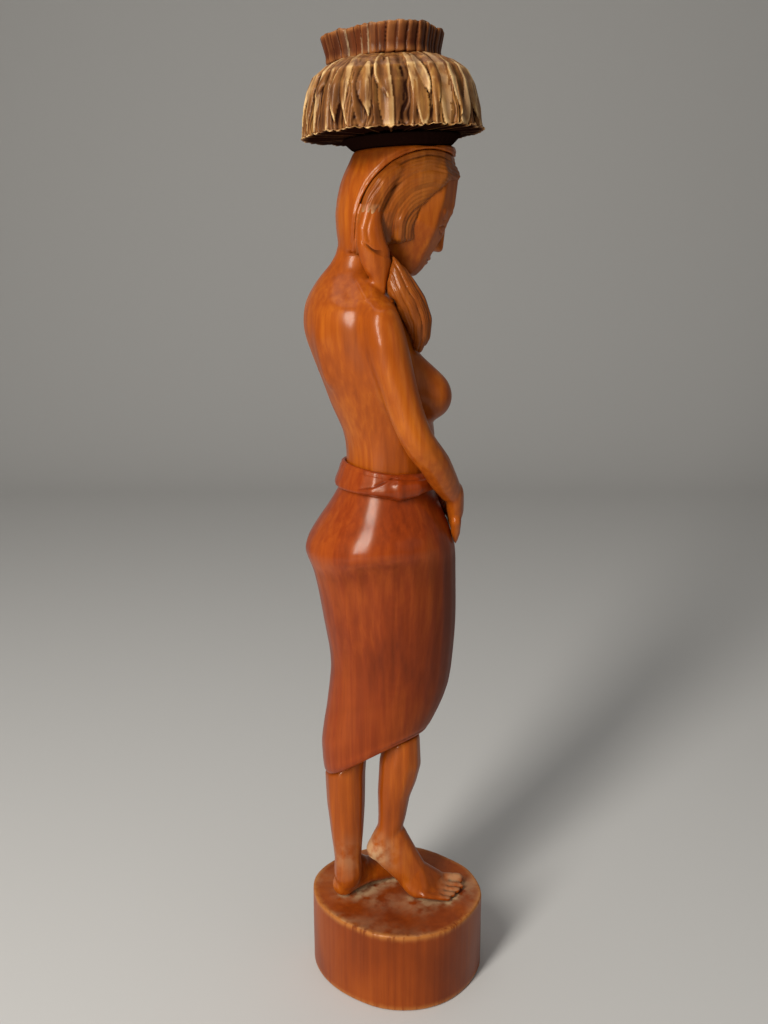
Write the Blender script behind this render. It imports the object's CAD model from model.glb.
"""Looks of the carved figure: each CAD node is rounded off on a fine grid, carved and given its wood.

Lengths are in metres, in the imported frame: +Z up, -Y the way the figure faces, -X her right side.
"""

import math
from collections import namedtuple

import bpy
import numpy as np
import openvdb as vdb
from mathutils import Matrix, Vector


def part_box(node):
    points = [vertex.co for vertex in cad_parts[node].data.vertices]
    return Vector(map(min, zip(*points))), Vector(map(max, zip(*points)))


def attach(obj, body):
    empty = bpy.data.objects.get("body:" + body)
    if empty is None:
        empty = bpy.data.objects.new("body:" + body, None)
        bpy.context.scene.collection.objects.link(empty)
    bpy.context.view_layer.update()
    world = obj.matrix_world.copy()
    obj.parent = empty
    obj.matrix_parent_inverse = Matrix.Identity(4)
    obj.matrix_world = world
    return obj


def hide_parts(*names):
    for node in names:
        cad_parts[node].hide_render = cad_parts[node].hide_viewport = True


MM = 0.001
TURN = 2 * math.pi
TINY = 1e-12   # keeps a division from meeting a zero

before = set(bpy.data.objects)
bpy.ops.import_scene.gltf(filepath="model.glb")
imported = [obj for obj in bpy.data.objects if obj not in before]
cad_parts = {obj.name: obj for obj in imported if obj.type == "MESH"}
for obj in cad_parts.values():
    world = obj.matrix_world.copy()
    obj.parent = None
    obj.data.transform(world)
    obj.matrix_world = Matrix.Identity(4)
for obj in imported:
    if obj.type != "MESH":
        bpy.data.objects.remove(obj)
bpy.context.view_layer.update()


# ---------- Distance fields ----------

BAND = 6             # width of the distance band on each side of a surface, in grid steps
FIELD_PAD = 3 * MM   # room in a field beyond the box of its nodes
BLUR_REACH = 2.5     # how far a blur looks to each side, in its own widths


class Field:
    """Signed distance to a form on a regular grid: negative inside."""

    def __init__(self, values, first, step):
        self.values = values
        self.first = first
        self.step = step

    def centres(self):
        """The three coordinates of the grid points, each shaped to spread over the grid."""
        axes = [(self.first[k] + np.arange(self.values.shape[k])) * self.step for k in range(3)]
        return np.meshgrid(*axes, indexing="ij", sparse=True)

    def height_share(self, start, end):
        """For each level of the grid: 0 on one side of the height start, rising to 1 at the height end."""
        level = self.centres()[2].ravel()
        return np.clip((level - start) / (end - start), 0, 1).astype(np.float32)

    def at(self, points):
        """The field's value at each point, from the eight grid points round it."""
        place = points / self.step - self.first
        cell = np.clip(np.floor(place).astype(int), 0, np.array(self.values.shape) - 2)
        share = place - cell
        total = np.zeros(len(points))
        for corner in np.ndindex(2, 2, 2):
            weight = np.prod(np.where(corner, share, 1 - share), axis=1)
            index = cell + corner
            total += weight * self.values[index[:, 0], index[:, 1], index[:, 2]]
        return total


def node_triangles(name):
    """The points and the triangles of a CAD node."""
    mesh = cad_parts[name].data
    mesh.calc_loop_triangles()
    points = np.zeros(len(mesh.vertices) * 3)
    mesh.vertices.foreach_get("co", points)
    corners = np.zeros(len(mesh.loop_triangles) * 3, np.int32)
    mesh.loop_triangles.foreach_get("vertices", corners)
    return points.reshape(-1, 3), corners.reshape(-1, 3)


def field_of(nodes, step, pad=FIELD_PAD):
    """The distance field of one or more CAD nodes together."""
    forms = [node_triangles(name) for name in nodes]
    low = np.min([points.min(0) for points, _ in forms], axis=0) - pad
    high = np.max([points.max(0) for points, _ in forms], axis=0) + pad
    first = np.floor(low / step).astype(int)
    shape = np.ceil(high / step).astype(int) - first + 1
    total = None
    for points, corners in forms:
        grid = vdb.FloatGrid.createLevelSetFromPolygons(
            points, triangles=corners, transform=vdb.createLinearTransform(step), halfWidth=BAND)
        values = np.zeros(shape, np.float32)
        grid.copyToArray(values, ijk=tuple(int(v) for v in first))
        total = values if total is None else np.minimum(total, values)
    return Field(total, first, step)


def blurred(values, steps, axes=(0, 1, 2)):
    """values after a Gaussian blur of that many grid steps along the axes."""
    reach = int(math.ceil(BLUR_REACH * steps))
    weights = np.exp(-0.5 * (np.arange(-reach, reach + 1) / steps) ** 2)
    weights /= weights.sum()
    for axis in axes:
        padding = [(reach, reach) if k == axis else (0, 0) for k in range(3)]
        padded = np.pad(values, padding, mode="edge")
        length = values.shape[axis]
        values = sum(
            weight * np.take(padded, range(i, i + length), axis=axis)
            for i, weight in enumerate(weights.astype(np.float32)))
    return values


def surface(field):
    """The points and four-sided faces of the field's zero surface."""
    grid = vdb.FloatGrid(BAND * field.step)
    grid.transform = vdb.createLinearTransform(field.step)
    grid.copyFromArray(field.values.astype(np.float32), ijk=tuple(int(v) for v in field.first))
    points, faces = grid.convertToQuads(0)
    return points.astype(float), faces[:, ::-1]


def point_normals(points, faces):
    """The direction that the surface faces at each point."""
    a, b, c, d = (points[faces[:, k]] for k in range(4))
    flat = np.cross(c - a, d - b)
    normals = np.zeros_like(points)
    for k in range(4):
        np.add.at(normals, faces[:, k], flat)
    return normals / np.maximum(np.linalg.norm(normals, axis=1, keepdims=True), TINY)


# ---------- Carving tools ----------

ROUTE_STEPS = 8           # points on a smooth route from each of its places to the next
LINE_FADE = 6             # how fast a scored line deepens away from its ends
LINE_END = 0.15           # its share of the full depth at the ends
EDGE_FADE = 5             # the same two for a rolled edge
EDGE_END = 0.3
STEP_WIDTH = 0.5 * MM     # how wide the step of a rolled edge is
STEP_RUNOUT = 4 * MM      # how far above it the wood is nearly back at its old level
SLIT_PLACE = 0.3 * MM     # how far above the edge the slit at its foot lies
SLIT_WIDTH = 0.4 * MM
WANDER_WAVES = 6          # waves added up in a smooth random value
WANDER_PACE = (0.6, 1.4)  # how slow and how fast they change, next to the scale that is asked for
WANDER_REACH = 3.5        # what their sum is divided by, to lie between -1 and 1 nearly everywhere


def at(x, forward, z):
    """A place given in millimetres, in the order that part.scad uses."""
    return np.array([x, -forward, z]) * MM


def smooth_route(places):
    """Points along a smooth curve through the places."""
    places = np.asarray(places, float)
    ends = np.vstack([places[:1], places, places[-1:]])
    points = []
    for a, b, c, d in zip(ends, ends[1:], ends[2:], ends[3:]):
        for t in np.arange(ROUTE_STEPS) / ROUTE_STEPS:
            points.append(0.5 * (2 * b + (c - a) * t + (2 * a - 5 * b + 4 * c - d) * t * t
                                 + (3 * b - a - 3 * c + d) * t ** 3))
    return np.array(points + [places[-1]])


def line_distance(points, route):
    """How far each point is from the route, and how far along it the nearest place is, 0 to 1."""
    nearest = np.full(len(points), np.inf)
    along = np.zeros(len(points))
    for k, (a, b) in enumerate(zip(route, route[1:])):
        span = b - a
        t = np.clip((points - a) @ span / max(span @ span, TINY), 0, 1)
        gap = np.linalg.norm(points - a - t[:, None] * span, axis=1)
        closer = gap < nearest
        nearest[closer] = gap[closer]
        along[closer] = (k + t[closer]) / (len(route) - 1)
    return nearest, along


def bell(values, width):
    """1 where a value is 0, falling smoothly to 0 beyond the width."""
    return np.exp(-(values / width) ** 2)


def scored(points, places, width, depth):
    """The depth of a line scored along the places, fading out at both of its ends."""
    gap, along = line_distance(points, smooth_route(places))
    fade = np.clip(LINE_FADE * np.minimum(along, 1 - along) + LINE_END, 0, 1)
    return depth * fade * bell(gap, width)


def route_offset(points, route):
    """Seen from the side: how far above the route each point lies, and how far along it."""
    flat = np.stack([-points[:, 1], points[:, 2]], axis=1)
    line = np.stack([-route[:, 1], route[:, 2]], axis=1)
    gap, along = line_distance(flat, line)
    place = along * (len(line) - 1)
    first = np.clip(place.astype(int), 0, len(line) - 2)
    span = line[first + 1] - line[first]
    off = flat - line[first]
    return gap * np.sign(off[:, 1] * span[:, 0] - off[:, 0] * span[:, 1]), along


def rolled_edge(points, route, step, slit):
    """The depth along an edge that lies on the route: a step down above it, and a slit at its foot."""
    above, along = route_offset(points, route)
    fade = np.clip(EDGE_FADE * np.minimum(along, 1 - along) + EDGE_END, 0, 1)
    drop = np.clip(above / STEP_WIDTH, 0, 1) * np.exp(-np.clip(above, 0, None) / STEP_RUNOUT)
    return fade * (step * drop + slit * bell(above - SLIT_PLACE, SLIT_WIDTH))


def ridges(phase, sharp=1.0):
    """A row of rounded ridges with sharp valleys: 0 on the crests and 1 in the valleys."""
    return (1 - np.abs(np.sin(math.pi * phase))) ** sharp


def wander(points, scale, seed):
    """A smooth random value from -1 to 1 that changes over about that distance."""
    random = np.random.default_rng(seed)
    total = np.zeros(len(points))
    for _ in range(WANDER_WAVES):
        way = random.normal(size=3)
        way /= np.linalg.norm(way)
        pace = random.uniform(*WANDER_PACE)
        total += np.sin(points @ way * (TURN / scale) * pace + random.uniform(0, TURN))
    return total / WANDER_REACH


def waviness(points, depth, scale, seed):
    """The shallow unevenness that a knife leaves, about that deep."""
    return depth * (1 + wander(points, scale, seed))


class Cut:
    """What the carver's tools and time did at each point of a surface.

    depth is how far the wood was cut away, dust how much pale dust lies there, and stain how much
    darker the finish is there.
    """

    def __init__(self, depth, dust=0, stain=0):
        self.depth = depth
        self.dust = dust
        self.stain = stain


# ---------- Pieces ----------

HOLLOW_REACH = 1.6 * MM     # size of the hollows and crests that stain and wear follow
HOLLOW_DEPTH = 0.4 * MM     # how deep such a hollow of the form is
RELIEF_DEPTH = 0.2 * MM     # and how deep one is that a tool cut
RELIEF_ROUNDS = 10          # rounds of averaging that give the level round a cut
NEIGHBOUR_SOFT = 0.8 * MM   # how much the pieces under a melted one are rounded off


def hollow_of(field, points):
    """How far each surface point lies down in a hollow (below 0) or up on a crest (above 0)."""
    wide = Field(blurred(field.values, HOLLOW_REACH / field.step), field.first, field.step)
    return wide.at(points) / HOLLOW_DEPTH


def averaged(values, faces, rounds):
    """Each point's value, evened out that many times with those of the points next to it."""
    pairs = np.vstack([faces[:, [k, (k + 1) % 4]] for k in range(4)])
    count = np.bincount(pairs[:, 0], minlength=len(values)) + 1
    for _ in range(rounds):
        values = (values + np.bincount(pairs[:, 0], values[pairs[:, 1]], minlength=len(values))) / count
    return values


def save_values(mesh, name, values):
    """Stores a value for each point, which the materials read by that name."""
    mesh.attributes.new(name, "FLOAT", "POINT").data.foreach_set("value", values.astype(np.float32))


def soften_between(start, end, extra):
    """A change of form: rounder by the width extra, from not at all at one height to fully at another."""
    def change(field):
        share = field.height_share(start, end)
        softer = blurred(field.values, extra / field.step)
        field.values = field.values * (1 - share) + softer * share
    return change


def melted_into(nodes, sink, width):
    """A change of form that lets the piece run out smoothly over its neighbours.

    The neighbours' own surfaces stay on top by the depth sink.
    """
    def change(field):
        other = field_of(nodes, field.step)
        other.values = blurred(other.values, NEIGHBOUR_SOFT / field.step)
        places = np.stack([axis.ravel() for axis in np.broadcast_arrays(*field.centres())], axis=1)
        under = other.at(places).reshape(field.values.shape) + sink
        share = np.clip(0.5 + 0.5 * (under - field.values) / width, 0, 1)
        joined = under * (1 - share) + field.values * share - width * share * (1 - share)
        field.values = joined.astype(np.float32)
    return change


def carve(name, nodes, material, step, soften, cut, shape=None):
    """A carved piece in place of some CAD nodes.

    step is the grid's, soften rounds the form off by that width, cut(points, normals) gives the Cut
    that the tools made, and shape(field) may change the form before.
    """
    field = field_of(nodes, step)
    field.values = blurred(field.values, soften / step)
    if shape:
        shape(field)
    points, faces = surface(field)
    normals = point_normals(points, faces)
    if np.mean(np.einsum("ij,ij->i", normals, points - points.mean(0))) < 0:
        faces = faces[:, ::-1]
        normals = -normals
    made = cut(points, normals)
    depth = averaged(made.depth, faces, 1)
    relief = depth - averaged(depth, faces, RELIEF_ROUNDS)
    hollow = hollow_of(field, points) - relief / RELIEF_DEPTH - made.stain
    moved = points - normals * depth[:, None]
    mesh = bpy.data.meshes.new(name)
    mesh.from_pydata(moved.tolist(), [], faces.tolist())
    save_values(mesh, "hollow", hollow)
    save_values(mesh, "dust", made.dust + np.zeros(len(points)))
    mesh.shade_smooth()
    mesh.materials.append(material)
    piece = bpy.data.objects.new(name, mesh)
    bpy.context.scene.collection.objects.link(piece)
    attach(piece, "root")
    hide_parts(*nodes)
    print(name, len(points), "points")


# ---------- Wood ----------

def srgb(*parts):
    """A colour given as it looks on a screen, from 0 to 255, as the renderer's linear colour."""
    linear = [((p / 255 + 0.055) / 1.055) ** 2.4 if p > 10 else p / 255 / 12.92 for p in parts]
    return (*linear, 1)


class Nodes:
    """Short calls for building a material's node tree."""

    def __init__(self, name):
        self.material = bpy.data.materials.new(name)
        self.material.use_nodes = True
        self.tree = self.material.node_tree
        self.shader = self.tree.nodes["Principled BSDF"]

    def feed(self, node, key, source):
        """Puts an output or a fixed value into a socket."""
        if isinstance(source, bpy.types.NodeSocket):
            self.tree.links.new(source, node.inputs[key])
        else:
            node.inputs[key].default_value = source

    def add(self, kind, sources, **settings):
        node = self.tree.nodes.new("ShaderNode" + kind)
        for key, value in settings.items():
            setattr(node, key, value)
        for key, source in sources.items():
            self.feed(node, key, source)
        return node

    def noise(self, waves, detail, distortion=0.0):
        """Noise with that many waves to the metre along X, Y and Z."""
        place = self.add("TexCoord", {}).outputs["Object"]
        vector = self.add("Mapping", {"Vector": place, "Scale": waves}).outputs[0]
        sources = {"Vector": vector, "Scale": 1.0, "Detail": detail, "Distortion": distortion}
        return self.add("TexNoise", sources).outputs["Fac"]

    def span(self, value, low, high):
        """value stretched so that low becomes 0 and high becomes 1."""
        return self.add("MapRange", {"Value": value, "From Min": low, "From Max": high}).outputs[0]

    def mix(self, share, first, second):
        """A blend of two colours."""
        return self.add("Mix", {0: share, 6: first, 7: second}, data_type="RGBA").outputs[2]

    def ramp(self, value, places, colours):
        """The colours in turn, as the value passes the places."""
        node = self.add("ValToRGB", {"Fac": value})
        elements = node.color_ramp.elements
        while len(elements) < len(places):
            elements.new(0.5)
        for element, place, colour in zip(elements, places, colours):
            element.position = place
            element.color = colour
        return node.outputs["Color"]

    def value_of(self, name):
        return self.add("Attribute", {}, attribute_name=name).outputs["Fac"]

    def maths(self, operation, first, second):
        return self.add("Math", {0: first, 1: second}, operation=operation).outputs[0]

    def times(self, first, second):
        return self.maths("MULTIPLY", first, second)

    def bump(self, height, strength, depth, **below):
        """A normal bent by the height, over the normal below if one is given."""
        sources = {"Height": height, "Strength": strength, "Distance": depth, **below}
        return self.add("Bump", sources).outputs[0]


DUST_TONE = srgb(204, 172, 130)
WAX_TINT = (1, 0.66, 0.36, 1)   # old wax gives its own warm colour to what the wood mirrors

# Waves to the metre of the wood's patterns, along X, Y and Z: grain and pores run up the log
GRAIN_WAVES = (420, 420, 11)
PORE_WAVES = (1900, 1900, 60)
MOTTLE_WAVES = (30, 30, 15)
DUST_WAVES = (170, 170, 170)

# Where a pattern or a hollow begins to show, and where it shows fully
TONE_PLACES = (0.34, 0.5, 0.66)
PORE_SPAN = (0.58, 0.74)
WORN_CREST_SPAN = (0.2, 1.3)
WORN_GRAIN_SPAN = (0.3, 0.5)
STAIN_SPAN = (-0.2, -1.8)
DUST_SPAN = (0.34, 0.58)

PORE_STRENGTH = 0.3
MOTTLED_ROUGHNESS = 0.16   # difference in roughness between light and dark mottles
MATT_ROUGHNESS = 0.35      # how much rougher stain and dust are than bare wood
BARE_SPECULAR = 0.26
COAT_ROUGHNESS = 0.18


def wood(name, tones, stain, roughness, grain_share=0.4, crest=None, wax=0.3):
    """Waxed wood: fine grain along Z, soft mottling, dark stain in the hollows and pale dust.

    tones are the dark, middle and light of the wood, stain is the colour down in the hollows,
    grain_share is how much of the pattern is grain, crest is the paler colour of rubbed edges, and
    wax is how much polish lies on the bare wood.
    """
    n = Nodes(name)
    grain = n.noise(GRAIN_WAVES, detail=8.0, distortion=0.25)
    mottle = n.noise(MOTTLE_WAVES, detail=3.0)
    blend = n.maths("ADD", n.times(grain, grain_share), n.times(mottle, 1 - grain_share))
    colour = n.ramp(blend, TONE_PLACES, tones)
    pores = n.noise(PORE_WAVES, detail=2.0)
    dark = tones[0]
    colour = n.mix(n.times(n.span(pores, *PORE_SPAN), PORE_STRENGTH), colour, dark)

    hollow = n.value_of("hollow")
    if crest:
        worn = n.times(n.span(hollow, *WORN_CREST_SPAN), n.span(grain, *WORN_GRAIN_SPAN))
        colour = n.mix(worn, colour, crest)
    shaded = n.span(hollow, *STAIN_SPAN)
    colour = n.mix(shaded, colour, stain)

    dusty = n.times(n.value_of("dust"), n.span(n.noise(DUST_WAVES, detail=5.0), *DUST_SPAN))
    colour = n.mix(dusty, colour, DUST_TONE)
    n.feed(n.shader, "Base Color", colour)

    matt = n.maths("MAXIMUM", shaded, dusty)
    rubbed = n.maths("ADD", n.times(mottle, MOTTLED_ROUGHNESS), roughness - MOTTLED_ROUGHNESS / 2)
    n.feed(n.shader, "Roughness", n.maths("ADD", n.times(matt, MATT_ROUGHNESS), rubbed))
    bare = n.maths("SUBTRACT", 1, matt)
    n.feed(n.shader, "Specular IOR Level", n.times(bare, BARE_SPECULAR))
    n.feed(n.shader, "Specular Tint", WAX_TINT)
    n.feed(n.shader, "Coat Weight", n.times(bare, wax))
    n.feed(n.shader, "Coat Roughness", COAT_ROUGHNESS)

    waves = n.bump(blend, strength=0.12, depth=0.15 * MM)
    n.feed(n.shader, "Normal", n.bump(pores, strength=0.08, depth=0.08 * MM, Normal=waves))
    return n.material


body_wood = wood(
    "body_wood", tones=(srgb(128, 54, 8), srgb(153, 70, 11), srgb(178, 93, 20)), stain=srgb(50, 21, 10),
    roughness=0.4)
cloth_wood = wood(
    "cloth_wood", tones=(srgb(110, 38, 8), srgb(136, 51, 11), srgb(158, 69, 17)), stain=srgb(44, 16, 9),
    roughness=0.38)
hair_wood = wood(
    "hair_wood", tones=(srgb(106, 48, 11), srgb(134, 66, 16), srgb(160, 88, 26)), stain=srgb(34, 15, 8),
    roughness=0.42)
load_wood = wood(
    "load_wood", tones=(srgb(84, 48, 26), srgb(126, 78, 38), srgb(168, 120, 60)), stain=srgb(34, 16, 10),
    roughness=0.48, grain_share=0.6, crest=srgb(214, 176, 120), wax=0.12)
crown_wood = wood(
    "crown_wood", tones=(srgb(58, 23, 10), srgb(80, 34, 14), srgb(104, 48, 20)), stain=srgb(26, 12, 8),
    roughness=0.5, grain_share=0.5, crest=srgb(142, 86, 44), wax=0.08)
plinth_wood = wood(
    "plinth_wood", tones=(srgb(108, 41, 9), srgb(134, 56, 13), srgb(158, 74, 20)), stain=srgb(52, 24, 12),
    roughness=0.46, grain_share=0.25, crest=srgb(172, 104, 48), wax=0.15)


# ---------- How the load is cut ----------

LOAD_TILT = math.radians(3)   # the front of the load is higher


def round_load(x, y, z, node):
    """The angle round the load and the height over the tier's lower edge, 0 to 1, of some places."""
    low, high = (np.array(corner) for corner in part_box(node))
    middle = (low + high) / 2
    forward = middle[1] - y
    rise = math.tan(LOAD_TILT)
    lean = 0.5 * (high[1] - low[1]) * rise
    angle = np.arctan2(x - middle[0], forward)
    return angle, (z - rise * forward - low[2] - lean) / (high[2] - low[2] - 2 * lean)


LEAF_TIER_HEIGHT = 31 * MM
LEAF_TIER_RADIUS = 42 * MM
NOTCHES = 82           # round the lower edge
NOTCH_SHARE = 0.02     # their depth, as a share of the tier's height
SWAY_SHARE = 0.01      # how far the lower edge sways up and down
STALKS = 140           # behind the leaves
STALK_BASE = 0.1       # height of the wood between them, as a share of the relief
STALK_RISE = 0.25      # how much higher their backs are
LEAF_RELIEF = 1.7 * MM
RELIEF_TOP = 1.1       # height that is not cut down at all, as a share of the relief
LEAF_BASE = 0.35       # height of the lowest layer of leaves
LAYER_RISE = 0.2       # how much higher each layer lies than the last
RIB_RISE = 0.22        # how much higher a leaf's middle is than its edges
LEAF_TWIST = 0.1       # how much higher one of its edges may be than the other
LAYER_TURN = 0.37      # how far each layer of leaves is turned from the last, in leaves
PLACE_SPREAD = 0.3     # how far a leaf may stand from its even place, in leaves
LEAN_SPREAD = 0.12     # how far a leaf may lean, in radians
LEAN_PIVOT = 0.3       # the share of its length that it leans about
LEAF_BEND = 0.03       # how far its middle bends to a side, in radians
NECK_SHARE = 0.1       # how much of a full lance shape is missing at a leaf's upper end
LEAST_HALF = 1e-6      # half width that even a leaf's tip has, in radians
LEAF_STAIN = (-0.6, 0.9)   # from a dusty, pale leaf to a dark one
CUT_ENDS = 60          # grooves round the underside, where the stalks are cut off
UNDERSIDE_STAIN = 2.5

# One layer of leaves: how many, the shares of the tier's height between which they begin and end,
# and their least and greatest half width in millimetres
LeafLayer = namedtuple("LeafLayer", "count tops tips halves")
LEAF_LAYERS = (
    LeafLayer(count=34, tops=(0.98, 1.1), tips=(-0.4, 0.1), halves=(1.9, 2.8)),
    LeafLayer(count=24, tops=(0.85, 1.08), tips=(-0.3, 0.3), halves=(2.3, 3.4)),
    LeafLayer(count=15, tops=(0.8, 1.08), tips=(0.1, 0.5), halves=(1.9, 2.7)),
)


def ragged_tips(field):
    """A change of form that cuts the lower edge of the leaves into uneven tips."""
    angle, share = round_load(*field.centres(), "leaf_tier")
    notches = NOTCH_SHARE * ridges(angle * NOTCHES / TURN)
    sway = SWAY_SHARE * (1 + np.sin(angle * 23 + np.sin(angle * 7)))
    over_edge = (notches + sway - share) * LEAF_TIER_HEIGHT
    field.values = np.maximum(field.values, over_edge).astype(np.float32)


def cut_leaves(points, normals):
    """Layers of lance-shaped leaves that hang from the binding, over fine stalks."""
    angle, share = round_load(*points.T, "leaf_tier")
    random = np.random.default_rng(7)
    stalk_phase = angle * STALKS / TURN + 0.7 * wander(points, scale=14 * MM, seed=1)
    height = STALK_BASE + STALK_RISE * (1 - ridges(stalk_phase))
    tone = np.full(len(points), LEAF_STAIN[1])
    for number, layer in enumerate(LEAF_LAYERS):
        for k in range(layer.count):
            place = k + LAYER_TURN * number + random.uniform(-PLACE_SPREAD, PLACE_SPREAD)
            centre = TURN * place / layer.count
            top = random.uniform(*layer.tops)
            tip = random.uniform(*layer.tips)
            half = random.uniform(*layer.halves) * MM / LEAF_TIER_RADIUS
            lean = random.uniform(-LEAN_SPREAD, LEAN_SPREAD)
            leaf_tone = random.uniform(*LEAF_STAIN)
            down = (top - share) / (top - tip)
            lance = np.sin(math.pi * np.clip(NECK_SHARE + (1 - NECK_SHARE) * down, 0, 1))
            width = half * lance ** 0.9 + LEAST_HALF
            bend = lean * (down - LEAN_PIVOT) + LEAF_BEND * np.sin(3 * down + k)
            off = (angle - centre - bend + math.pi) % TURN - math.pi
            across = off / width
            on_leaf = (down > 0) & (down < 1) & (np.abs(across) < 1)
            rib = RIB_RISE * (1 - np.minimum(np.abs(across), 1)) ** 0.7
            leaf = LEAF_BASE + LAYER_RISE * number + rib + LEAF_TWIST * np.sin(2.5 * across + k)
            over = on_leaf & (leaf > height)
            height = np.where(over, leaf, height)
            tone = np.where(over, leaf_tone, tone)
    side = np.clip(1.3 - np.abs(normals[:, 2]), 0, 1)
    depth = LEAF_RELIEF * (RELIEF_TOP - height) * side
    below = normals[:, 2] < -0.5
    cut_ends = 0.3 * MM * ridges(angle * CUT_ENDS / TURN)
    depth = np.where(below & (share < 0.1), cut_ends, depth)
    stain = np.where(below, UNDERSIDE_STAIN, tone * side)
    return Cut(depth, dust=np.clip(-tone, 0, 1) * ~below, stain=stain)


PLEATS = 34
PLEAT_NUMBERS = 80        # the pleats' numbers lie round the middle of these
PLEAT_WANDER = 0.16       # how far a pleat's edge may stray from its even place, in pleats
PLEAT_SLANT = 0.5 * MM    # how much deeper one edge of a pleat lies than the other
PLEAT_LIFT = 0.35 * MM    # the most that one pleat may lie below another
PLEAT_SLIT = 0.45 * MM    # depth of the slit between two pleats
SLIT_SHARE = 0.09         # its half width, in pleats
RIM_START = 0.88          # the rim is worn above this share of the tier's height
RIM_RUN = 0.12            # and it is fully worn this much higher


def flattened(field):
    """A change of form that softens the pleats and keeps the rim sharp."""
    field.values = blurred(field.values, 1.2 * MM / field.step, axes=(0, 1))


def cut_pleats(points, normals):
    """Flat pleats that overlap like a fan's, with thin slits between them and a ragged rim."""
    angle, share = round_load(*points.T, "crown_tier")
    place = angle * PLEATS / TURN + PLEAT_WANDER * wander(points, scale=24 * MM, seed=3)
    place += PLEAT_NUMBERS / 2
    pleat = place.astype(int)
    across = place - pleat
    random = np.random.default_rng(5)
    lift = random.uniform(0, 1, PLEAT_NUMBERS)[pleat]
    slit = bell(across, SLIT_SHARE) + bell(1 - across, SLIT_SHARE)
    side = PLEAT_SLANT * across + PLEAT_LIFT * lift + PLEAT_SLIT * slit
    worn = np.clip((share - RIM_START) / RIM_RUN, 0, 1)
    rim = waviness(points, 0.5 * MM, scale=5 * MM, seed=6) * worn
    stalks = waviness(points, 0.3 * MM, scale=3.2 * MM, seed=4)
    top = normals[:, 2] > 0.8
    pale_edge = 0.5 * (lift > 0.85) * (across > 0.8)
    dust = np.where(top, 0, 0.5 * worn + pale_edge)
    return Cut(np.where(top, stalks, side) + rim, dust, stain=np.where(top, 0.3, 0.5 * lift - 0.3))


def cut_ring(points, _normals):
    """A coiled pad, dark from the shade and the dirt under the load."""
    angle = np.arctan2(points[:, 0], -points[:, 1])
    coil = ridges(angle * 48 / TURN + points[:, 2] / (5 * MM))
    return Cut(0.12 * MM * coil, stain=4)


# ---------- How the head and its hair are cut ----------

CLOTH_EDGE_MIDDLE = at(0, 12, 372)   # the round front edge of the cloth turns about this
CLOTH_EDGE_R = 33.1 * MM
CLOTH_END = 359 * MM                 # height where the cloth is thinnest
CLOTH_THINS = 370 * MM               # and where it begins to thin
CLOTH_THINNING = 1.8 * MM
CLOTH_BORDER_END = 362 * MM          # the border has run out here
NAPE_NOTCHES = (365 * MM, 384 * MM)  # heights between which they lie
NAPE_HALF = 3 * MM                   # half width of the row of notches
HANK_END = (-20 * MM, -12 * MM)      # how far forward the frayed end of the swept hank lies
HANK_END_TOP = 382.5 * MM
HANK_STRANDS = 4.4                   # strands in a hank of hair
DIRT_START = 396 * MM                # the top of the head is darker above this height
DIRT_RUN = 11 * MM
DIRT_STAIN = 1.8


def edge_distance(points):
    """Distance from the axis that the cloth's front edge and the hair's strands turn about."""
    rise = np.clip(points[:, 2] - CLOTH_EDGE_MIDDLE[2], 0, None)
    return np.hypot(points[:, 1] - CLOTH_EDGE_MIDDLE[1], rise)


def strands(across, pitch, depth):
    """Combed hair: fine grooves side by side, with deeper ones between the hanks."""
    fine = ridges(across / pitch, sharp=1.3)
    hank = ridges(across / (HANK_STRANDS * pitch) + 0.2, sharp=3)
    return depth * (0.5 * fine + 0.8 * hank)


def dirt_under_load(points):
    """The stain that darkens the top of the head under the pad."""
    return DIRT_STAIN * np.clip((points[:, 2] - DIRT_START) / DIRT_RUN, 0, 1)


def cut_front_hair(points, _normals):
    """Strands that sweep from the brow over the temple, down and back to the nape."""
    across = edge_distance(points) + 0.35 * MM * wander(points, scale=11 * MM, seed=11)
    forward = -points[:, 1]
    hank_end = (points[:, 0] < -20 * MM) & (forward > HANK_END[0]) & (forward < HANK_END[1])
    frayed = np.clip((HANK_END_TOP - points[:, 2]) / (4 * MM), 0, 1) * hank_end
    tufts = 0.8 * MM * frayed * ridges(across / (2.2 * MM))
    depth = strands(across, pitch=1.45 * MM, depth=0.5 * MM) + tufts
    return Cut(depth, dust=0.7 * frayed, stain=dirt_under_load(points))


LOCK_ROUTE = smooth_route([
    at(-20, -6, 360), at(-20, -3.8, 355), at(-20, -1.4, 348), at(-20, 2.4, 341), at(-20, 5.6, 333),
    at(-20, 6.5, 326), at(-20, 5.4, 318)])


def cut_lock(points, _normals):
    """Strands that spread over the full of the lock and meet again at its tip."""
    across, along = route_offset(points, LOCK_ROUTE)
    spread = 0.35 + 0.65 * np.sin(math.pi * np.clip(0.1 + 0.85 * along, 0, 1))
    twist = 0.3 * (points[:, 0] + 20 * MM)
    across = across / spread + 0.3 * MM * wander(points, scale=9 * MM, seed=5) + twist
    return Cut(strands(across, pitch=1.05 * MM, depth=0.85 * MM))


def cloth_end(field):
    """A change of form that thins the head cloth towards its lower end and melts it into the nape."""
    thinner = field.height_share(CLOTH_THINS, CLOTH_END) ** 2
    field.values = field.values + CLOTH_THINNING * thinner
    melted_into(["torso", "cloth_fold"], sink=0.35 * MM, width=3 * MM)(field)


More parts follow.
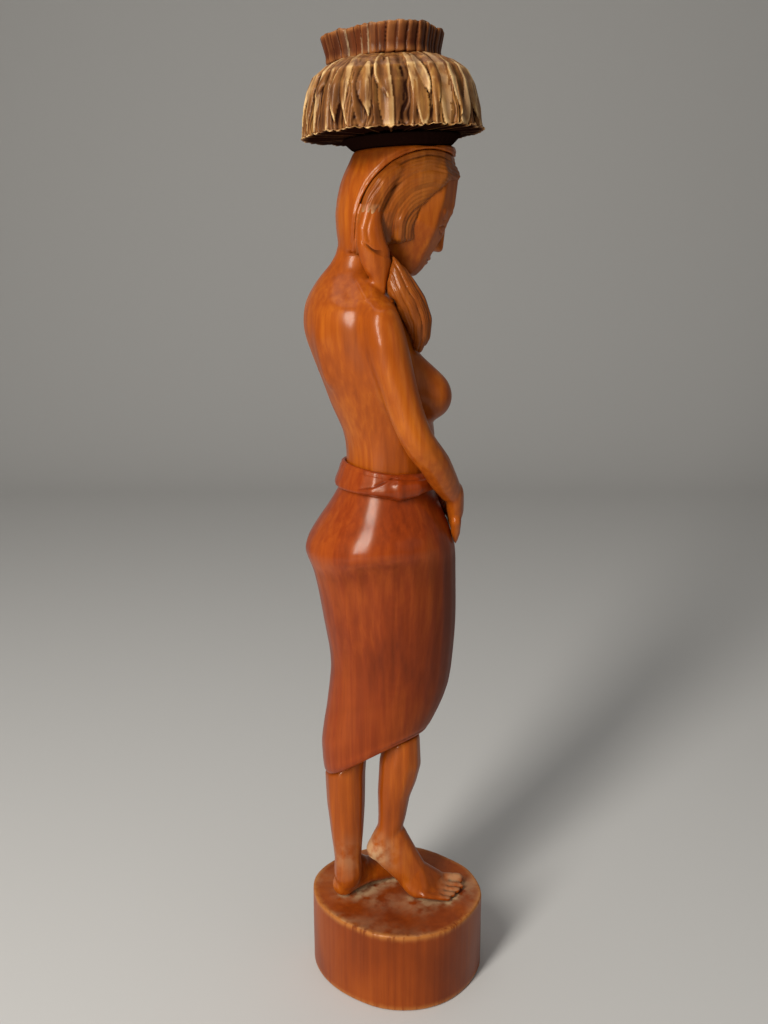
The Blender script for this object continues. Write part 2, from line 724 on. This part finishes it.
def cut_head_cloth(points, _normals):
    """A fine border along the front edge, and a row of small notches down the nape."""
    height = points[:, 2]
    inside = edge_distance(points) - CLOTH_EDGE_R
    border = 0.35 * MM * bell(inside - 1.5 * MM, 0.35 * MM)
    stitches = 0.15 * MM * ridges(height / (1.3 * MM)) * (inside < 1.3 * MM)
    fade = np.clip((height - CLOTH_BORDER_END) / (6 * MM), 0, 1)
    nape = (np.abs(points[:, 0]) < NAPE_HALF) & (points[:, 1] > 20 * MM)
    nape &= (height > NAPE_NOTCHES[0]) & (height < NAPE_NOTCHES[1])
    notches = 0.45 * MM * ridges(height / (1.7 * MM), sharp=2) * nape
    return Cut(fade * (border + stitches) + notches, stain=dirt_under_load(points))


FOLD_CREASE = smooth_route([
    at(-24, -19, 366.2), at(-24, -16.5, 363.9), at(-24, -12.9, 361.8), at(-24, -10.2, 361),
    at(-24, -7.2, 360.4), at(-24, -4.5, 360.6)])
FOLD_GROOVE = [at(0, -15, 380)[1:], at(0, -17.5, 372)[1:], at(0, -16.5, 366)[1:]]


def cut_fold(points, _normals):
    """A crease where the fold's upper part dips under the lower one, and a soft groove above it."""
    crease = rolled_edge(points, FOLD_CREASE, step=0.7 * MM, slit=0.5 * MM) * (points[:, 0] < -12 * MM)
    return Cut(crease + scored(points[:, 1:], FOLD_GROOVE, width=0.8 * MM, depth=0.4 * MM))


HEAD_BOW = math.radians(26)
HEAD_MIDDLE = at(0, 3, 382.5)
FACE_FRONT = 8   # the face lies this far out of the head's middle or more, in mm

# Lines on one half of the face, sideways and up from the head's middle, then width and depth, in mm
FACE_LINES = (
    ([(3.8, -2.6), (5.5, -1.3), (8, -0.9), (10.6, -2.2), (11.8, -3.2)], 0.38, 0.5),   # fold of the lid
    ([(4.2, -3.1), (6.3, -4), (8.6, -4.1), (10.8, -3)], 0.38, 0.5),                   # edge of the lid
    ([(4.5, 0.6), (7.5, 1.7), (11, 0.6)], 0.5, 0.25),                                 # socket
    ([(-1, -16.9), (0, -16.9), (2, -16.8), (4.6, -16.4)], 0.42, 0.7),                 # between the lips
    ([(1.2, -12.9), (1.8, -12.7), (2.4, -12.4)], 0.5, 0.5),                           # nostril
    ([(0.5, -14.8), (0.6, -13.8), (0.7, -12.8)], 0.45, 0.2),                          # groove under the nose
    ([(3, 4.6), (6, 6.2), (10, 6), (13, 3.8)], 0.9, -0.35),                           # brow, which is raised
)


def in_head(points):
    """Points in the head's own frame, in millimetres: sideways, out of the face, and up."""
    x, y, z = ((points - HEAD_MIDDLE) / MM).T
    out = -y * math.cos(HEAD_BOW) - z * math.sin(HEAD_BOW)
    up = z * math.cos(HEAD_BOW) - y * math.sin(HEAD_BOW)
    return x, out, up


def cut_face(points, _normals):
    """The lids of the lowered eyes, the brows, the nostrils and the line of the lips."""
    x, out, up = in_head(points)
    face = np.stack([np.abs(x), up], axis=1)
    depth = sum(scored(face, places, width, deep * MM) for places, width, deep in FACE_LINES)
    return Cut(np.where(out > FACE_FRONT, depth, 0))


# ---------- How the body, the cloth and the block are cut ----------

SPINE = [
    at(0, -36, 350), at(0, -43, 333), at(0, -40, 317), at(0, -33, 298), at(0, -27, 280), at(0, -26, 270)]


def cut_body(points, _normals):
    """The furrow of the spine, the hollows behind the arms, and a knife's waviness."""
    depth = scored(points, SPINE, width=2.6 * MM, depth=1.1 * MM)
    for side in (-1, 1):
        arm_pit = [at(side * 30, -19, 322), at(side * 31, -14, 314), at(side * 31, -9, 303)]
        depth += scored(points, arm_pit, width=1 * MM, depth=0.5 * MM)
    return Cut(depth + waviness(points, 0.08 * MM, scale=16 * MM, seed=34))


# Sideways place of each gap between two toes, and how far from the heel it begins and ends, in mm
TOE_GAPS = ((-2.6, 43, 52), (1.2, 41.5, 50), (4.6, 40, 47), (8, 38, 43.5))
# Sideways place of each nail, how far from the heel its front edge is, and its half width, in mm
TOENAILS = ((-5.9, 49.5, 1.9), (-0.4, 47.6, 1.1), (2.9, 45, 1), (6.3, 42.2, 1))
TOES_HEIGHT = 14     # the toes lie lower than this over the block, in mm
TOES_START = 36      # how far from the heel the toes begin, in mm
HEEL_MIDDLE = (3, 25)   # of a raised heel: forward from its back and up from the block, in mm
HEEL_SIZE = 9


def cut_foot(place, turn, side, worn):
    """A cutter for a leg: the gaps between the toes, the toenails, and a heel and toes worn pale.

    The heel is over the place on the block, and the foot points straight ahead but for turn degrees
    towards +X. side is 1 when the little toe is towards +X, and worn is how pale heel and toes are.
    """
    cosine, sine = math.cos(math.radians(turn)), math.sin(math.radians(turn))

    def cut(points, normals):
        x, y, height = ((points - place) / MM).T
        forward = x * sine - y * cosine
        foot = np.stack([x * cosine + y * sine, forward], axis=1)
        depth = waviness(points, 0.07 * MM, scale=14 * MM, seed=31)
        low = height < TOES_HEIGHT
        for across, back, front in TOE_GAPS:
            gap = [(side * across, back), (side * across, (back + front) / 2), (side * across, front + 3)]
            depth += scored(foot, gap, width=0.6, depth=1 * MM) * low
        for across, front, half in TOENAILS:
            left, right, root = side * across - half, side * across + half, front - 1.9 * half
            near = 0.2 * half
            nail = [(left, front), (left + near, root), (right - near, root), (right, front)]
            depth += scored(foot, nail, width=0.22, depth=0.3 * MM) * (low & (normals[:, 2] > 0.2))
        toes = np.clip((forward - TOES_START) / 8, 0, 1) * low
        heel = bell(np.hypot(forward - HEEL_MIDDLE[0], height - HEEL_MIDDLE[1]), HEEL_SIZE)
        dust = worn * (heel + 0.5 * toes * (normals[:, 2] > 0.5))
        grime = 1.2 * toes * np.clip(0.3 - normals[:, 2], 0, 1)
        return Cut(depth, dust, grime)
    return cut


HEM_LOW = 109       # height of the hem at the back, in mm
HEM_RISE = 24       # how much higher it is at the front
HEM_BACK = -37      # how far forward the back of the hem is, in mm
HEM_RUN = 52        # and how far it is from there to the front
SEAT_LOW = 226      # height of the underside of the seat at the back, in mm
SEAT_RISE = 6       # how much higher it is at the front
SEAT_BACK = -40     # how far forward the back of the seat is, in mm
SEAT_HOLLOW = 4.6 * MM   # how deep the wood under the seat is cut in
SEAT_SHELF = 40     # how gently it begins, in square mm: the depth is half there at its square root
SEAT_FADE = 26      # and how far down it fades, in mm
SHADE_RUN = 10      # the finish darkens over this distance below the seat, in mm
KNEE_HOLLOW = 1.1 * MM
KNEE_HEIGHT = 172   # height at which the cloth lies closest to the back of the knees, in mm


def cut_skirt(points, _normals):
    """The hollow under the seat, a line along the hem, a knife's waves, and darker wood below."""
    forward, height = -points[:, 1] / MM, points[:, 2] / MM
    share = np.clip((forward - HEM_BACK) / HEM_RUN, 0, 1)
    hem = HEM_LOW + HEM_RISE * (1 - (1 - share) ** 2)
    line = 0.35 * MM * bell(height - hem - 2, 0.45)

    seat = SEAT_LOW + SEAT_RISE * (1 - bell(np.clip(forward - SEAT_BACK, 0, None), 20))
    under = np.clip(seat - height, 0, None)
    hollow = SEAT_HOLLOW * under ** 2 / (under ** 2 + SEAT_SHELF) * np.exp(-under / SEAT_FADE)
    hollow *= np.clip((18 - forward) / 24, 0, 1) * np.clip((forward + 48) / 26, 0.3, 1)
    knees = KNEE_HOLLOW * bell(height - KNEE_HEIGHT, 15) * np.clip((10 - forward) / 24, 0, 1)

    dark = 0.5 * np.clip(under / SHADE_RUN, 0, 1) + 0.5 * np.clip((forward + 12) / 30, 0, 1)
    return Cut(line + hollow + knees + waviness(points, 0.1 * MM, scale=24 * MM, seed=33), stain=dark)


TUCK_ROUTE = smooth_route([
    at(-19.5, -23, 259), at(-22.7, -18.2, 260), at(-24.4, -14.4, 261), at(-24.7, -9.9, 263),
    at(-24.3, -5.3, 265), at(-24, -2.5, 265.9)])
SASH_TOP = 269.4    # height of the sash's upper edge at the back, in mm
SASH_DIP = 4        # how much lower it is at the front
SASH_BACK = -26.6   # how far forward its back is, in mm
SASH_RUN = 45
CORD_HALF = 0.9     # half of the cord's height, in mm
CORD_TWISTS = 24    # to the radian


def cut_sash(points, _normals):
    """A thin cord along the upper edge, and the band's end rolled over its lower half."""
    forward = -points[:, 1] / MM
    share = np.clip((forward - SASH_BACK) / SASH_RUN, 0, 1)
    below = SASH_TOP - SASH_DIP * (1 - (1 - share) ** 2) - points[:, 2] / MM
    angle = np.arctan2(points[:, 0], -points[:, 1])
    twists = 0.3 * MM * ridges(angle * CORD_TWISTS + below / 2.2, sharp=1.5)
    cord = np.where(np.abs(below - 0.6) < CORD_HALF, twists, 0)
    groove = 0.4 * MM * bell(below - 1.9, 0.4)
    tuck = rolled_edge(points, TUCK_ROUTE, step=0.7 * MM, slit=0.5 * MM) * (points[:, 0] < -8 * MM)
    return Cut(cord + groove + tuck)


BASE_WEAR = 0.1 * MM   # how far the block's underside and its rims are rubbed down
FOOT_STEP = 1.2 * MM   # grid step of the fields that give the distance to the feet
FOOT_PAD = 7 * MM
FOOT_DUST = 1.1 * MM   # how far round the feet the dust lies thick
RESIDUE_WIDTH = 6 * MM   # width of the pale residue along the left foot's inner side
RESIDUE_SIDE = 12 * MM   # it lies less far towards +X than this
RESIDUE_BACK = 26 * MM   # and less far back than this

left_foot = field_of(["left_leg"], FOOT_STEP, FOOT_PAD)
right_foot = field_of(["right_leg"], FOOT_STEP, FOOT_PAD)


def cut_plinth(points, normals):
    """Knife facets round the side, and pale dust on top, most of it round the feet."""
    angle = np.arctan2(points[:, 0], -points[:, 1])
    facets = 0.05 * MM * (1 + np.sin(angle * 13 + 2 * wander(points, scale=50 * MM, seed=21)))
    dents = np.clip(waviness(points, 0.1 * MM, scale=11 * MM, seed=22), 0, None)
    top = normals[:, 2] > 0.8
    side = np.abs(normals[:, 2]) < 0.5

    gap = np.clip(np.minimum(left_foot.at(points), right_foot.at(points)), 0, None)
    beside = np.clip(1 - left_foot.at(points) / RESIDUE_WIDTH, 0, 1) * (points[:, 0] < RESIDUE_SIDE)
    beside *= np.clip((RESIDUE_BACK - points[:, 1]) / RESIDUE_WIDTH, 0, 1)
    film = 0.3 * np.clip(0.3 + wander(points, scale=30 * MM, seed=23), 0, 1)
    dust = np.where(top, np.exp(-gap / FOOT_DUST) + beside + film, 0)
    return Cut(np.where(side, facets, np.where(top, dents, BASE_WEAR)), dust)


# ---------- The pieces ----------

hands_up = soften_between(275 * MM, 287 * MM, extra=2.5 * MM)
ankles_up = soften_between(58 * MM, 70 * MM, extra=0.9 * MM)
toes_down = soften_between(58 * MM, 52 * MM, extra=1.1 * MM)


def soft_leg(field):
    """A change of form that closes the long gaps between the toes and evens out the leg."""
    toes_down(field)
    ankles_up(field)


carve("plinth_block", ["plinth"], plinth_wood, step=0.55 * MM, soften=0.6 * MM,
      cut=cut_plinth)
carve("left_leg_carved", ["left_leg"], body_wood, step=0.45 * MM, soften=0.45 * MM,
      shape=soft_leg, cut=cut_foot(at(-6, -33.5, 42), turn=32, side=1, worn=0.2))
carve("right_leg_carved", ["right_leg"], body_wood, step=0.45 * MM, soften=0.45 * MM,
      shape=soft_leg, cut=cut_foot(at(-4, -17, 42), turn=-5, side=-1, worn=0.7))
carve("skirt_carved", ["skirt"], cloth_wood, step=0.8 * MM, soften=1.5 * MM, cut=cut_skirt)
carve("sash_carved", ["waist_sash"], cloth_wood, step=0.45 * MM, soften=0.8 * MM,
      cut=cut_sash)
carve("bare_body", ["torso", "left_arm", "right_arm"], body_wood, step=0.65 * MM,
      soften=0.8 * MM, shape=hands_up, cut=cut_body)
carve("head_carved", ["head"], body_wood, step=0.4 * MM, soften=0.75 * MM, cut=cut_face)
carve("front_hair_carved", ["front_hair"], hair_wood, step=0.4 * MM, soften=0.55 * MM,
      cut=cut_front_hair)
carve("head_cloth_carved", ["head_cloth"], body_wood, step=0.5 * MM, soften=0.9 * MM,
      shape=cloth_end, cut=cut_head_cloth)
carve("cloth_fold_carved", ["cloth_fold"], body_wood, step=0.4 * MM, soften=0.8 * MM,
      shape=melted_into(["head_cloth", "front_hair", "torso"], sink=0.4 * MM, width=3.3 * MM),
      cut=cut_fold)
carve("chest_lock_carved", ["chest_lock"], hair_wood, step=0.35 * MM, soften=1 * MM,
      cut=cut_lock)
carve("head_ring_carved", ["head_ring"], crown_wood, step=0.5 * MM, soften=0.6 * MM,
      cut=cut_ring)
carve("leaf_tier_carved", ["leaf_tier"], load_wood, step=0.38 * MM, soften=0.5 * MM,
      shape=ragged_tips, cut=cut_leaves)
carve("crown_tier_carved", ["crown_tier"], crown_wood, step=0.38 * MM, soften=0.4 * MM,
      shape=flattened, cut=cut_pleats)


# ---------- Studio ----------

VIEW_AZIMUTH = math.radians(-98)   # from the figure's right side, a little from behind
VIEW_DISTANCE = 481 * MM           # level distance from the plinth's axis
VIEW_HEIGHT = 363 * MM
VIEW_PITCH = math.radians(14)      # downwards
VIEW_ASIDE = -6.8 * MM             # the camera stands this much to the right of the axis
LENS = 36.7
SENSOR = 36
CLIP_START = 0.01

UP = Vector((0, 0, 1))
FIGURE_MIDDLE = UP * 0.24
away = Vector((-math.sin(VIEW_AZIMUTH), math.cos(VIEW_AZIMUTH), 0))
aside = away.cross(UP)

PAPER = (0.6, 0.59, 0.57, 1)
PAPER_HALF_WIDTH = 2.5
PAPER_FRONT = -2.5     # where the paper begins, from the figure's axis away from the camera
PAPER_BACK = 1.6       # where its wall stands, measured the same way
PAPER_HEIGHT = 2.6
PAPER_BEND = 0.5       # radius of the curve from floor to wall
BEND_STEPS = 16


def stage_material(name, colour):
    """A plain matt material."""
    material = bpy.data.materials.new(name)
    material.use_nodes = True
    shader = material.node_tree.nodes["Principled BSDF"]
    shader.inputs["Base Color"].default_value = colour
    shader.inputs["Roughness"].default_value = 0.9
    shader.inputs["Specular IOR Level"].default_value = 0.1
    return material


def backdrop():
    """A pale floor that curves up into a wall behind."""
    bend = [(PAPER_BACK - PAPER_BEND + PAPER_BEND * math.sin(t), PAPER_BEND - PAPER_BEND * math.cos(t))
            for t in np.linspace(0, math.pi / 2, BEND_STEPS)]
    profile = [(PAPER_FRONT, 0), *bend, (PAPER_BACK, PAPER_HEIGHT)]
    points = [away * run + aside * across + UP * rise
              for run, rise in profile for across in (-PAPER_HALF_WIDTH, PAPER_HALF_WIDTH)]
    faces = [(2 * i, 2 * i + 1, 2 * i + 3, 2 * i + 2) for i in range(len(profile) - 1)]
    mesh = bpy.data.meshes.new("backdrop")
    mesh.from_pydata([tuple(p) for p in points], [], faces)
    mesh.shade_smooth()
    mesh.materials.append(stage_material("backdrop_paper", PAPER))
    sheet = bpy.data.objects.new("backdrop", mesh)
    bpy.context.scene.collection.objects.link(sheet)


def lamp(name, place, wide, high, power, colour=(1, 1, 1)):
    """A soft oval lamp that points at the middle of the figure."""
    data = bpy.data.lights.new(name, "AREA")
    data.shape = "ELLIPSE"
    data.size = wide
    data.size_y = high
    data.energy = power
    data.color = colour
    light = bpy.data.objects.new(name, data)
    light.location = place
    light.rotation_euler = (FIGURE_MIDDLE - place).to_track_quat("-Z", "Y").to_euler()
    bpy.context.scene.collection.objects.link(light)


camera_data = bpy.data.cameras.new("camera")
camera_data.lens = LENS
camera_data.sensor_width = SENSOR
camera_data.clip_start = CLIP_START
camera = bpy.data.objects.new("camera", camera_data)
camera.location = -away * VIEW_DISTANCE + aside * VIEW_ASIDE + UP * VIEW_HEIGHT
look = away * math.cos(VIEW_PITCH) - UP * math.sin(VIEW_PITCH)
camera.rotation_euler = look.to_track_quat("-Z", "Y").to_euler()
bpy.context.scene.collection.objects.link(camera)
bpy.context.scene.camera = camera

backdrop()
lamp("key", place=-away * 0.85 - aside * 0.54 + UP * 0.72, wide=0.24, high=1.2, power=16,
     colour=(1, 0.97, 0.92))
lamp("fill", place=-away * 0.9 + aside * 0.9 + UP * 0.5, wide=0.9, high=0.9, power=0.6)
lamp("top", place=Vector((0.1, 0.1, 1.3)), wide=0.9, high=0.9, power=2.5)

world = bpy.data.worlds.new("studio")
world.use_nodes = True
world.node_tree.nodes["Background"].inputs["Color"].default_value = (1, 0.98, 0.95, 1)
world.node_tree.nodes["Background"].inputs["Strength"].default_value = 0.16
bpy.context.scene.world = world
bpy.context.scene.view_settings.view_transform = "Standard"
